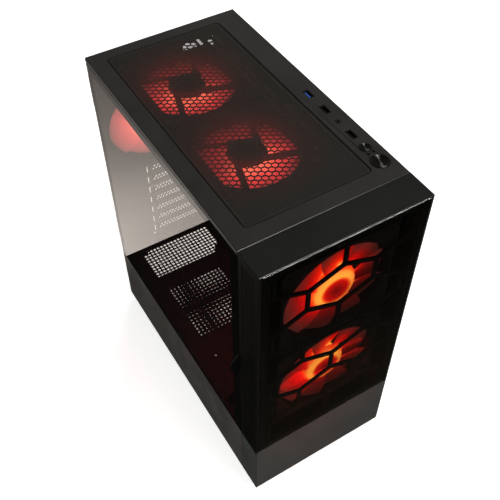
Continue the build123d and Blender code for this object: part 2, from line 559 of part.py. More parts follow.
for r in range(-4, 9):
    cz = Z_ROW0 - r * (HB + HC)
    for c in range(-3, 4):
        cx = c * 2 * HA + (HA if r % 2 else 0.0)
        p = inset_hex(cx, cz, BAR / 2)
        p = clip(p, field[0], field[1], 0)
        p = clip(p, field[2], field[3], 1) if p else []
        if len(p) > 2 and abs(area(p)) > 12.0:
            cells.append(p)
save("front_grille", plate("y", rect(*GR), cells, YF + 3.1, YF + 6.1))

strips = []
for s in (-1, 1):
    x0, x1 = sorted((s * (XR - 0.6), s * (XR - 1.6)))
    strips.append(bx(x0, x1, VENT_Y[0], VENT_Y[1], VENT_Z[0], VENT_Z[1]))
save("front_vents", *strips)
pegs = []
for s in (-1, 1):
    for z in PEG_Z:
        body = cyl("y", s * PEG_X, z, SEAM - 14.0, SEAM + 4.0, 3.0)
        x0, x1 = sorted((s * PEG_X, s * (XR - T)))
        pegs.append(fuse(body, bx(x0, x1, SEAM - 14.0, SEAM - 5.6, z - 3.0, z + 3.0)))
save("front_pegs", *pegs)

print(len(SAVED), "nodes", sum(SAVED.values()), "solids")
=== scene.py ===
import math

import bmesh
import bpy
from mathutils import Matrix, Vector


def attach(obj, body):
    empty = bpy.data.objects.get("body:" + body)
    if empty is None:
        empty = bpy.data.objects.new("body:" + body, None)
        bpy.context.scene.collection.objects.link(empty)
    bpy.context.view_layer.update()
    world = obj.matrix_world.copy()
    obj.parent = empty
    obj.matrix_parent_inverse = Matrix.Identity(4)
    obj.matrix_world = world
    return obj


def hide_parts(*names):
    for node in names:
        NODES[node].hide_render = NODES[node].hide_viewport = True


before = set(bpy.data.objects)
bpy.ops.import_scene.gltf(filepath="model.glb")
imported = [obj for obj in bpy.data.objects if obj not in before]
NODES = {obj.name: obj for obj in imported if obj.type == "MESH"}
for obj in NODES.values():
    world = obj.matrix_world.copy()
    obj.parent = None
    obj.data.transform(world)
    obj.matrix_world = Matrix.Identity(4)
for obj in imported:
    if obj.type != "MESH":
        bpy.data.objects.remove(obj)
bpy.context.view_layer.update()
scene = bpy.context.scene
scene.view_settings.view_transform = "Standard"

# The case is drawn in millimetres with its underside at z = 0, as in the part's source;
# OFF moves those numbers to the part's own origin.
MM = 0.001
OFF = Vector((6.05, -4.1, 12.0))


def at(x, y, z):
    return (Vector((x, y, z)) + OFF) * MM


# ------------------------------------------------------------------ camera
cam_data = bpy.data.cameras.new("camera")
cam_data.lens = 53.344
cam_data.sensor_width = 36.0
cam_data.clip_start, cam_data.clip_end = 0.01, 60.0
cam = bpy.data.objects.new("camera", cam_data)
scene.collection.objects.link(cam)
cam.location = at(-323.795, -546.453, 975.097)
az, el, roll = (math.radians(a) for a in (-31.2787, 49.2364, -0.06))
back = Vector((math.sin(az) * math.cos(el), -math.cos(az) * math.cos(el), math.sin(el)))
right = Vector((0.0, 0.0, 1.0)).cross(back).normalized()
over = back.cross(right)
cam.rotation_euler = Matrix((right * math.cos(roll) + over * math.sin(roll), over * math.cos(roll) - right * math.sin(roll), back)).transposed().to_euler()
scene.camera = cam


# --------------------------------------------------------- material helpers
def principled(name, **values):
    m = bpy.data.materials.new(name)
    m.use_nodes = True
    nt = m.node_tree
    nt.nodes.clear()
    out = nt.nodes.new("ShaderNodeOutputMaterial")
    b = nt.nodes.new("ShaderNodeBsdfPrincipled")
    nt.links.new(b.outputs["BSDF"], out.inputs["Surface"])
    for key, v in values.items():
        b.inputs[key.replace("_", " ")].default_value = v
    return m, nt, b


def noise(nt, scale, detail=2.0, rough=0.5, stretch=None):
    tc = nt.nodes.new("ShaderNodeTexCoord")
    src = tc.outputs["Object"]
    if stretch:
        mp = nt.nodes.new("ShaderNodeMapping")
        mp.inputs["Scale"].default_value = stretch
        nt.links.new(src, mp.inputs["Vector"])
        src = mp.outputs["Vector"]
    n = nt.nodes.new("ShaderNodeTexNoise")
    n.inputs["Scale"].default_value = scale
    n.inputs["Detail"].default_value = detail
    n.inputs["Roughness"].default_value = rough
    nt.links.new(src, n.inputs["Vector"])
    return n.outputs["Fac"]


def ranged(nt, value, a, b, lo=0.3, hi=0.7):
    n = nt.nodes.new("ShaderNodeMapRange")
    n.inputs["From Min"].default_value = lo
    n.inputs["From Max"].default_value = hi
    n.inputs["To Min"].default_value = a
    n.inputs["To Max"].default_value = b
    nt.links.new(value, n.inputs["Value"])
    return n.outputs["Result"]


def mixed(nt, fac, a, b):
    n = nt.nodes.new("ShaderNodeMix")
    n.data_type = "RGBA"
    nt.links.new(fac, n.inputs[0])
    n.inputs[6].default_value = (*a, 1.0)
    n.inputs[7].default_value = (*b, 1.0)
    return n.outputs[2]


def bump(nt, b, height, strength, distance):
    n = nt.nodes.new("ShaderNodeBump")
    n.inputs["Strength"].default_value = strength
    n.inputs["Distance"].default_value = distance
    nt.links.new(height, n.inputs["Height"])
    nt.links.new(n.outputs["Normal"], b.inputs["Normal"])


def scaled(c, k):
    return tuple(x * k for x in c)


def coat(name, colour, rough, grain=1100.0, depth=0.00006, strength=0.5, vary=0.15, spec=0.5):
    """Painted or moulded surface: fine grain, faint cloudiness in colour and gloss."""
    m, nt, b = principled(name, Specular_IOR_Level=spec)
    cloud = noise(nt, 22.0, 4.0, 0.6)
    fine = noise(nt, grain, 3.0, 0.65)
    nt.links.new(mixed(nt, ranged(nt, cloud, 0.0, 1.0), scaled(colour, 1 - vary), scaled(colour, 1 + vary)), b.inputs["Base Color"])
    nt.links.new(ranged(nt, cloud, rough - 0.05, rough + 0.06), b.inputs["Roughness"])
    bump(nt, b, fine, strength, depth)
    return m


def moulding(name, face, top, side, inner, rough):
    """Front shell: painted face and foot; upward faces and the vented sides coloured darker by the way they face,
    as painted shade; black behind the glass.
    """
    m = coat(name, face, rough, grain=1700.0, depth=0.00004, spec=0.25)
    nt = m.node_tree
    b = next(n for n in nt.nodes if n.type == "BSDF_PRINCIPLED")
    painted = b.inputs["Base Color"].links[0].from_socket
    tc = nt.nodes.new("ShaderNodeTexCoord")
    nor = nt.nodes.new("ShaderNodeSeparateXYZ")
    nt.links.new(tc.outputs["Normal"], nor.inputs["Vector"])
    pos = nt.nodes.new("ShaderNodeSeparateXYZ")
    nt.links.new(tc.outputs["Object"], pos.inputs["Vector"])

    def over(fac, below, colour):
        n = nt.nodes.new("ShaderNodeMix")
        n.data_type = "RGBA"
        nt.links.new(fac, n.inputs[0])
        nt.links.new(below, n.inputs[6])
        n.inputs[7].default_value = (*colour, 1.0)
        return n.outputs[2]

    width = nt.nodes.new("ShaderNodeMath")
    width.operation = "ABSOLUTE"
    nt.links.new(nor.outputs["X"], width.inputs[0])
    # upward faces: the darker top colour, painted shade
    c = over(ranged(nt, nor.outputs["Z"], 0.0, 1.0, 0.75, 0.8), painted, top)
    upper = nt.nodes.new("ShaderNodeMath")
    upper.operation = "MULTIPLY"
    nt.links.new(ranged(nt, width.outputs[0], 0.0, 1.0, 0.75, 0.8), upper.inputs[0])
    nt.links.new(ranged(nt, pos.outputs["Z"], 0.0, 1.0, 0.1118, 0.1124), upper.inputs[1])
    # side faces above the foot: the darker side colour, painted shade
    c = over(upper.outputs[0], c, side)
    # inner faces: further back than the outer face and lower than the outer top
    depth = ranged(nt, pos.outputs["Y"], 0.0, 1.0, -0.2012, -0.2008)
    below = ranged(nt, pos.outputs["Z"], 1.0, 0.0, 0.4655, 0.4668)
    front = ranged(nt, nor.outputs["Y"], 0.0, 1.0, -0.75, -0.8)
    one = nt.nodes.new("ShaderNodeMath")
    one.operation = "MULTIPLY"
    nt.links.new(depth, one.inputs[0])
    nt.links.new(below, one.inputs[1])
    two = nt.nodes.new("ShaderNodeMath")
    two.operation = "MULTIPLY"
    nt.links.new(one.outputs[0], two.inputs[0])
    nt.links.new(front, two.inputs[1])
    c = over(two.outputs[0], c, inner)
    # narrow lips round the glass, in its plane, in the same darker side colour
    beside = ranged(nt, pos.outputs["Z"], 0.0, 1.0, 0.1168, 0.1174)
    lip = nt.nodes.new("ShaderNodeMath")
    lip.operation = "MULTIPLY"
    nt.links.new(front, lip.inputs[0])
    nt.links.new(beside, lip.inputs[1])
    c = over(lip.outputs[0], c, side)
    nt.links.new(c, b.inputs["Base Color"])
    return m


def painted_highlight(name, colour, dull, rough, matt):
    """Painted highlight on the top front arris: chamfers that face up and forward are coloured light grey and
    glossy, brightest on the left and fading to the right; the other chamfers are painted near black, as painted
    shade.
    """
    m, nt, b = principled(name, Specular_IOR_Level=0.3)
    tc = nt.nodes.new("ShaderNodeTexCoord")
    nor = nt.nodes.new("ShaderNodeSeparateXYZ")
    nt.links.new(tc.outputs["Normal"], nor.inputs["Vector"])
    tilt = nt.nodes.new("ShaderNodeMath")
    tilt.operation = "MULTIPLY_ADD"
    nt.links.new(nor.outputs["Y"], tilt.inputs[0])
    tilt.inputs[1].default_value = -1.6
    nt.links.new(nor.outputs["Z"], tilt.inputs[2])
    pos = nt.nodes.new("ShaderNodeSeparateXYZ")
    nt.links.new(tc.outputs["Object"], pos.inputs["Vector"])
    facing_light = nt.nodes.new("ShaderNodeMath")
    facing_light.operation = "MULTIPLY"
    nt.links.new(ranged(nt, tilt.outputs[0], 0.0, 1.0, 1.3, 1.7), facing_light.inputs[0])
    nt.links.new(ranged(nt, pos.outputs["X"], 1.0, 0.16, -0.09, 0.10), facing_light.inputs[1])
    front = nt.nodes.new("ShaderNodeMath")
    front.operation = "MULTIPLY"
    nt.links.new(facing_light.outputs[0], front.inputs[0])
    nt.links.new(ranged(nt, pos.outputs["Y"], 1.0, 0.0, -0.155, -0.14), front.inputs[1])
    high = nt.nodes.new("ShaderNodeMath")
    high.operation = "MULTIPLY"
    nt.links.new(front.outputs[0], high.inputs[0])
    nt.links.new(ranged(nt, pos.outputs["Z"], 0.0, 1.0, 0.2, 0.4), high.inputs[1])
    highlight_mask = high.outputs[0]
    nt.links.new(mixed(nt, highlight_mask, dull, colour), b.inputs["Base Color"])
    highlight_gloss = nt.nodes.new("ShaderNodeMath")
    highlight_gloss.operation = "MULTIPLY_ADD"
    nt.links.new(highlight_mask, highlight_gloss.inputs[0])
    highlight_gloss.inputs[1].default_value = rough - matt
    nt.links.new(ranged(nt, noise(nt, 60.0, 3.0), matt - 0.02, matt + 0.04), highlight_gloss.inputs[2])
    nt.links.new(highlight_gloss.outputs[0], b.inputs["Roughness"])
    return m


def metal(name, colour, rough, stretch=(1.0, 1.0, 0.05), scale=900.0, vary=0.2, **more):
    """Worked metal with fine drawn scratches."""
    m, nt, b = principled(name, Metallic=1.0, **more)
    s = noise(nt, scale, 3.0, 0.6, stretch)
    nt.links.new(mixed(nt, ranged(nt, s, 0.0, 1.0), scaled(colour, 1 - vary), scaled(colour, 1 + vary)), b.inputs["Base Color"])
    nt.links.new(ranged(nt, s, rough - 0.06, rough + 0.08), b.inputs["Roughness"])
    bump(nt, b, s, 0.25, 0.00003)
    return m


def glass(name, colour, ior=1.5):
    m, nt, b = principled(name, Base_Color=(*colour, 1.0), Roughness=0.0, IOR=ior, Transmission_Weight=1.0)
    return m


def radial(nt, dist, stops, tip):
    ramp = nt.nodes.new("ShaderNodeValToRGB")
    els = ramp.color_ramp.elements
    els[0].position, els[0].color = stops[0][0] / tip, (*stops[0][1], 1.0)
    els[1].position, els[1].color = stops[-1][0] / tip, (*stops[-1][1], 1.0)
    for r, c in stops[1:-1]:
        e = els.new(r / tip)
        e.color = (*c, 1.0)
    ramp.color_ramp.interpolation = "EASE"
    nt.links.new(dist, ramp.inputs["Fac"])
    return ramp.outputs["Color"]


def glow(name, tip, centre, bright, lo, hi, least, strength, even, painted_side):
    """Frosted rotor's LED glow, as emission by distance from the axis (local Z, millimetres): `even` falls all
    round; the second ramp is painted light, brighter on a side fixed in space towards `bright`, standing in for the
    uneven glow across the spinning vanes."""
    m, nt, b = principled(name, Roughness=0.35, Emission_Strength=strength)
    tc = nt.nodes.new("ShaderNodeTexCoord")
    flat = nt.nodes.new("ShaderNodeVectorMath")
    flat.operation = "MULTIPLY"
    flat.inputs[1].default_value = (1.0, 1.0, 0.0)
    nt.links.new(tc.outputs["Object"], flat.inputs[0])
    far = nt.nodes.new("ShaderNodeVectorMath")
    far.operation = "LENGTH"
    nt.links.new(flat.outputs["Vector"], far.inputs[0])
    dist = ranged(nt, far.outputs["Value"], 0.0, 1.0, 0.0, tip * MM)
    geo = nt.nodes.new("ShaderNodeNewGeometry")
    rel = nt.nodes.new("ShaderNodeVectorMath")
    rel.operation = "SUBTRACT"
    nt.links.new(geo.outputs["Position"], rel.inputs[0])
    rel.inputs[1].default_value = centre
    unit = nt.nodes.new("ShaderNodeVectorMath")
    unit.operation = "NORMALIZE"
    nt.links.new(rel.outputs["Vector"], unit.inputs[0])
    dot = nt.nodes.new("ShaderNodeVectorMath")
    dot.operation = "DOT_PRODUCT"
    nt.links.new(unit.outputs["Vector"], dot.inputs[0])
    dot.inputs[1].default_value = bright
    side = nt.nodes.new("ShaderNodeMapRange")
    side.interpolation_type = "SMOOTHSTEP"
    side.inputs["From Min"].default_value = lo
    side.inputs["From Max"].default_value = hi
    side.inputs["To Min"].default_value = least
    side.inputs["To Max"].default_value = 1.0
    nt.links.new(dot.outputs["Value"], side.inputs["Value"])
    part = nt.nodes.new("ShaderNodeVectorMath")
    part.operation = "SCALE"
    nt.links.new(radial(nt, dist, painted_side, tip), part.inputs[0])
    nt.links.new(side.outputs["Result"], part.inputs["Scale"])
    total = nt.nodes.new("ShaderNodeVectorMath")
    total.operation = "ADD"
    nt.links.new(part.outputs["Vector"], total.inputs[0])
    nt.links.new(radial(nt, dist, even, tip), total.inputs[1])
    nt.links.new(total.outputs["Vector"], b.inputs["Emission Color"])
    cloud = noise(nt, 60.0, 2.0)
    nt.links.new(mixed(nt, cloud, (0.05, 0.006, 0.005), (0.08, 0.01, 0.008)), b.inputs["Base Color"])
    return m


# ------------------------------------------------------------------ finishes
PAINT = coat("powder_coat", (0.037, 0.0345, 0.032), 0.46, grain=1500.0, spec=0.25)
# top cover: the side panels' powder coat painted a little darker, as painted shade on the upward face
TOPCOAT_SHADED = coat("top_powder_coat_shaded", (0.035, 0.033, 0.0307), 0.44, grain=1500.0, spec=0.25)
# painted edge highlight: light grey glossy top front chamfers, brightest on the left; the other chamfers near black
# as painted shade
EDGE_HIGHLIGHT = painted_highlight("painted_edge_highlight", (0.42, 0.41, 0.40), (0.003, 0.0028, 0.0026), 0.25, 0.75)
INNER = coat("door_frame_paint", (0.0025, 0.0024, 0.0022), 0.5, grain=1500.0, spec=0.25)
# front wall and front fan frames behind the front glass: black paint a little darker and duller than elsewhere, as
# painted shade
RECESS_SHADED = coat("recess_paint_shaded", (0.0045, 0.004, 0.0036), 0.6, grain=1300.0, spec=0.12)
STEEL = coat("chassis_paint", (0.006, 0.0055, 0.0052), 0.55, grain=1300.0, spec=0.3)
# front shell: face colour, then the darker top and side colours that are painted shade, then black for the inner
# faces
FRONT = moulding("front_moulding", (0.0295, 0.0315, 0.0298), (0.0108, 0.0113, 0.0104), (0.0025, 0.0024, 0.0022), (0.0015, 0.0015, 0.0014), 0.44)
VENT = coat("vent_paint", (0.003, 0.0029, 0.0026), 0.5, grain=1700.0, spec=0.2)
GRILLE = coat("grille_moulding", (0.003, 0.0027, 0.0024), 0.65, grain=1500.0, spec=0.06)
PLASTIC = coat("black_moulding", (0.012, 0.0115, 0.011), 0.5, grain=1900.0, depth=0.00004)
FANBODY = coat("fan_moulding", (0.005, 0.0047, 0.0045), 0.5, grain=1600.0, depth=0.00003, spec=0.3)
FILTER = coat("filter_weave", (0.042, 0.0375, 0.0325), 0.6, grain=2500.0, depth=0.00003, spec=0.3)
RUBBER = coat("foot_rubber", (0.02, 0.02, 0.02), 0.85, grain=900.0, depth=0.0001, spec=0.3)
BOARD = coat("solder_mask", (0.008, 0.022, 0.012), 0.35, grain=700.0)
ZINC = metal("bright_zinc", (0.62, 0.62, 0.61), 0.32)
BLACKSCREW = metal("black_zinc", (0.05, 0.05, 0.05), 0.38)
BRASS = metal("turned_brass", (0.16, 0.12, 0.06), 0.45)
COPPER = metal("coil_copper", (0.72, 0.34, 0.18), 0.35)
SHELL = metal("port_shell", (0.03, 0.028, 0.026), 0.45)
BLUE = coat("port_blue", (0.016, 0.14, 0.62), 0.38, grain=1500.0, depth=0.00003, vary=0.12)
PIPE = coat("light_pipe", (0.004, 0.004, 0.004), 0.7, grain=400.0, depth=0.00002, spec=0.1)
STRAP = coat("strap_weave", (0.002, 0.002, 0.002), 0.4, grain=1300.0, depth=0.00008, strength=0.6, spec=0.22)
SIDEGLASS = glass("smoked_glass", (0.62, 0.60, 0.58))
FRONTGLASS = glass("dark_glass", (0.30, 0.29, 0.28))


def spun(name):
    """Turned button face: fine rings that stretch the highlight into a bow."""
    m, nt, b = principled(name, Metallic=1.0, Anisotropic=1.0, Anisotropic_Rotation=0.25)
    tan = nt.nodes.new("ShaderNodeTangent")
    tan.direction_type = "RADIAL"
    tan.axis = "Z"
    nt.links.new(tan.outputs["Tangent"], b.inputs["Tangent"])
    s = noise(nt, 700.0, 2.0)
    nt.links.new(mixed(nt, ranged(nt, s, 0.0, 1.0), (0.05, 0.0488, 0.046), (0.072, 0.07, 0.067)), b.inputs["Base Color"])
    nt.links.new(ranged(nt, s, 0.27, 0.34), b.inputs["Roughness"])
    return m


SPUN = spun("spun_metal")

# fans: place of the axis (fan face nearest the intake) and whether it blows to the rear
FANS = {
    "top_fan_rear": (-19.5, 94.4, 426.4, False),
    "top_fan_front": (-19.5, -40.1, 426.4, False),
    "rear_fan": (-38.0, 171.5, 351.5, True),
    "front_fan_upper": (0.0, -187.0, 359.0, True),
    "front_fan_lower": (0.0, -187.0, 211.0, True),
}


def core(fan):
    x, y, z, back = FANS[fan]
    return at(x, y + 12.0, z) if back else at(x, y, z + 12.0)


# rotor light by radius: dim cap, hot ring round the hub, red vanes that fade to the rim; the ramps named for a side
# are painted light, added on one fixed side only
FRONT_EVEN = [(0.0, (0.06, 0.0002, 0.0001)), (5.0, (0.09, 0.0003, 0.0002)), (10.0, (0.20, 0.0005, 0.0003)), (14.5, (0.28, 0.001, 0.0005)), (17.5, (0.42, 0.03, 0.003)), (20.5, (0.50, 0.10, 0.012)),
              (25.0, (0.46, 0.06, 0.008)), (28.0, (0.30, 0.006, 0.001)), (31.0, (0.13, 0.0005, 0.0003)), (38.0, (0.035, 0.0003, 0.0003)), (65.5, (0.004, 0.001, 0.0008))]
FRONT_PAINTED_SIDE = [(0.0, (0.06, 0.0, 0.0)), (9.0, (0.12, 0.0003, 0.0)), (14.5, (0.22, 0.001, 0.0)), (17.0, (0.38, 0.05, 0.004)), (19.5, (0.50, 0.25, 0.028)), (24.0, (0.52, 0.24, 0.026)), (27.5, (0.52, 0.06, 0.006)),
               (31.0, (0.50, 0.003, 0.0008)), (36.0, (0.42, 0.0006, 0.0004)), (41.0, (0.30, 0.0006, 0.0006)), (46.0, (0.17, 0.002, 0.002)), (52.0, (0.10, 0.005, 0.004)), (58.0, (0.06, 0.007, 0.005)), (65.5, (0.03, 0.006, 0.005))]
SMALL_EVEN = [(0.0, (0.05, 0.001, 0.001)), (18.0, (0.10, 0.006, 0.006)), (21.0, (0.20, 0.012, 0.012)), (30.0, (0.15, 0.006, 0.009)), (40.0, (0.11, 0.004, 0.008)), (50.0, (0.05, 0.003, 0.005)), (56.5, (0.015, 0.002, 0.002))]
SMALL_PAINTED_SIDE = [(0.0, (0.05, 0.001, 0.001)), (18.0, (0.3, 0.02, 0.01)), (21.0, (0.95, 0.16, 0.085)), (27.0, (0.92, 0.115, 0.066)), (33.0, (0.72, 0.058, 0.042)), (42.0, (0.50, 0.026, 0.024)), (50.0, (0.22, 0.012, 0.014)),
               (56.5, (0.05, 0.004, 0.004))]
REAR_EVEN = [(0.0, (0.2, 0.01, 0.005)), (18.0, (0.4, 0.05, 0.04)), (24.0, (0.8, 0.18, 0.12)), (34.0, (0.60, 0.105, 0.09)), (46.0, (0.38, 0.075, 0.068)), (56.5, (0.17, 0.04, 0.036))]
# directions of the painted brighter side of each rotor's glow
UP_LEFT = Vector((-0.574, 0.0, 0.819))
NEAR = Vector((-0.42, -0.91, 0.0))
NEAR_RIGHT = Vector((0.24, -0.97, 0.0))
GLOW = {
    "front_fan_upper": glow("rotor_glow_front_upper", 66.0, core("front_fan_upper"), UP_LEFT, -1.0, 0.3, 0.04, 4.8, FRONT_EVEN, FRONT_PAINTED_SIDE),
    "front_fan_lower": glow("rotor_glow_front_lower", 66.0, core("front_fan_lower"), UP_LEFT, -1.0, 0.3, 0.04, 3.7, FRONT_EVEN, FRONT_PAINTED_SIDE),
    "top_fan_rear": glow("rotor_glow_top_rear", 57.0, core("top_fan_rear"), NEAR, -0.9, 0.8, 0.1, 2.3, SMALL_EVEN, SMALL_PAINTED_SIDE),
    "top_fan_front": glow("rotor_glow_top_front", 57.0, core("top_fan_front"), NEAR_RIGHT, -0.5, 0.9, 0.08, 2.75, SMALL_EVEN, SMALL_PAINTED_SIDE),
    "rear_fan": glow("rotor_glow_rear", 57.0, core("rear_fan"), NEAR, -1.0, 1.0, 0.5, 2.2, REAR_EVEN, SMALL_EVEN),
}



def glowing_weave(name, spots):
    """Filter fabric: the coat of the filter, with a painted glow: the red light of the fans below painted into the
    filaments as emission, in a pool round each fan's axis.
    """
    m = coat(name, (0.042, 0.0375, 0.0325), 0.6, grain=2500.0, depth=0.00003, spec=0.3)
    nt = m.node_tree
    b = next(n for n in nt.nodes if n.type == "BSDF_PRINCIPLED")
    geo = nt.nodes.new("ShaderNodeNewGeometry")
    # every other weft thread is coloured lighter, a painted sheen in stripes 2.5 mm apart
    along = nt.nodes.new("ShaderNodeSeparateXYZ")
    nt.links.new(geo.outputs["Position"], along.inputs["Vector"])
    turns = nt.nodes.new("ShaderNodeMath")
    turns.operation = "MULTIPLY"
    nt.links.new(along.outputs["Y"], turns.inputs[0])
    turns.inputs[1].default_value = 2.0 * math.pi / 0.0025
    weft = nt.nodes.new("ShaderNodeMath")
    weft.operation = "SINE"
    nt.links.new(turns.outputs[0], weft.inputs[0])
    thread = ranged(nt, weft.outputs[0], 0.0, 1.0, -0.8, 0.8)
    nt.links.new(mixed(nt, thread, (0.025, 0.0222, 0.0192), (0.062, 0.0555, 0.048)), b.inputs["Base Color"])
    total = None
    # painted glow: a pool of red emission round each fan's axis, fixed in place
    for spot in spots:
        flat = nt.nodes.new("ShaderNodeVectorMath")
        flat.operation = "MULTIPLY_ADD"
        nt.links.new(geo.outputs["Position"], flat.inputs[0])
        flat.inputs[1].default_value = (1.0, 1.0, 0.0)
        flat.inputs[2].default_value = (-spot[0], -spot[1], 0.0)
        far = nt.nodes.new("ShaderNodeVectorMath")
        far.operation = "LENGTH"
        nt.links.new(flat.outputs["Vector"], far.inputs[0])
        c = radial(nt, ranged(nt, far.outputs["Value"], 0.0, 1.0, 0.0, 0.1), PAINTED_FAN_GLOW, 100.0)
        if total is None:
            total = c
        else:
            add = nt.nodes.new("ShaderNodeVectorMath")
            add.operation = "ADD"
            nt.links.new(total, add.inputs[0])
            nt.links.new(c, add.inputs[1])
            total = add.outputs["Vector"]
    nt.links.new(total, b.inputs["Emission Color"])
    b.inputs["Emission Strength"].default_value = 1.0
    return m


PAINTED_FAN_GLOW = [(0.0, (0.006, 0.0005, 0.0005)), (18.0, (0.015, 0.001, 0.001)), (26.0, (0.05, 0.0015, 0.001)), (40.0, (0.042, 0.0012, 0.001)), (52.0, (0.022, 0.0007, 0.0006)), (64.0, (0.009, 0.0003, 0.0003)), (90.0, (0.0, 0.0, 0.0))]
# filter weave with the top fans' red light painted in as emission
WEAVE_GLOW = glowing_weave("filter_weave_painted_glow", (core("top_fan_rear"), core("top_fan_front")))

FINISH = {
    PAINT: ("left_skirt", "right_side_panel"),
    TOPCOAT_SHADED: ("top_cover",),
    INNER: ("side_glass_frame",),
    RECESS_SHADED: ("front_wall", "front_fan_upper_frame", "front_fan_lower_frame"),
    STEEL: ("rear_panel", "bottom_panel", "chassis_top", "motherboard_tray", "psu_shroud", "drive_cage", "slot_covers", "slot_shelf", "door_hinges", "port_posts"),
    FRONT: ("front_frame",),
    GRILLE: ("front_grille",),
    PLASTIC: ("feet", "filter_rails", "front_pegs", "button_switches", "audio_jack", "psu_filter"),
    FANBODY: ("top_fan_rear_frame", "top_fan_front_frame", "rear_fan_frame"),
    FILTER: ("filter_frame",),
    RUBBER: ("foot_pads",),
    BOARD: ("io_board", "fan_led_boards"),
    ZINC: ("slot_screws", "io_screws", "rivets"),
    BLACKSCREW: ("fan_screws", "right_thumbscrew_upper", "right_thumbscrew_lower"),
    BRASS: ("standoffs", "fan_bushes"),
    COPPER: ("fan_stators",),
    SHELL: ("usb3_socket", "usb2_sockets"),
    BLUE: ("usb3_tongue",),
    SPUN: ("power_button", "reset_button"),
    PIPE: ("light_pipes",),
}
for mat, names in FINISH.items():
    for n in names:
        slots = NODES[n].data.materials
        if len(slots):
            for i in range(len(slots)):
                slots[i] = mat
        else:
            slots.append(mat)


def soften(width, *names, segments=2, painted_highlight=False):
    """Small broken edges on sheet and moulded nodes; flagged ones are flat chamfers that carry the painted edge
    highlight.
    """
    for n in names:
        ob = NODES[n]
        w = ob.modifiers.new("weld", "WELD")
        w.merge_threshold = 0.000002
        b = ob.modifiers.new("edges", "BEVEL")
        b.width = width
        b.segments = segments
        b.limit_method = "ANGLE"
        b.angle_limit = math.radians(40.0)
        b.harden_normals = not painted_highlight
        if painted_highlight:
            ob.data.materials.append(EDGE_HIGHLIGHT)
            b.material = len(ob.data.materials) - 1
            b.use_clamp_overlap = False
            ob.modifiers.new("close", "WELD").merge_threshold = 0.00001
            e = ob.modifiers.new("flats", "EDGE_SPLIT")
            e.split_angle = math.radians(18.0)
            ob.modifiers.new("shade", "WEIGHTED_NORMAL").keep_sharp = True


# top cover and front frame: flat chamfers with the painted edge highlight
soften(0.0005, "top_cover", segments=1, painted_highlight=True)
soften(0.0003, "front_frame", segments=1, painted_highlight=True)
soften(0.0005, "left_skirt", "right_side_panel")
soften(0.0003, "power_button", "reset_button", "front_grille", "filter_frame")


# ------------------------------------------------------------- mesh helpers
def put(name, verts, faces, mat, body, node, matrix=None, smooth=None):
    """A new piece in millimetres; matrix places local millimetres, else they are the drawing's."""
    me = bpy.data.meshes.new(name)
    if matrix is None:
        me.from_pydata([tuple(at(*v)) for v in verts], [], faces)
    else:
        me.from_pydata([tuple(Vector(v) * MM) for v in verts], [], faces)
    bm = bmesh.new()
    bm.from_mesh(me)
    bmesh.ops.remove_doubles(bm, verts=bm.verts, dist=0.000002)
    bmesh.ops.recalc_face_normals(bm, faces=bm.faces)
    if smooth is not None:
        lim = math.radians(smooth)
        for f in bm.faces:
            f.smooth = True
        for e in bm.edges:
            if len(e.link_faces) == 2 and e.calc_face_angle(0.0) > lim:
                e.smooth = False
    bm.to_mesh(me)
    bm.free()
    me.materials.append(mat)
    ob = bpy.data.objects.new(name, me)
    if matrix is not None:
        ob.matrix_world = matrix
    scene.collection.objects.link(ob)
    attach(ob, body)
    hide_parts(node)
    return ob


def ring_faces(rows, closed=True):
    """Quads between rows of vertices numbered row by row."""
    faces = []
    n = len(rows[0])
    for a, b in zip(rows, rows[1:]):
        for i in range(n if closed else n - 1):
            j = (i + 1) % n
            faces.append((a[i], a[j], b[j], b[i]))
    return faces


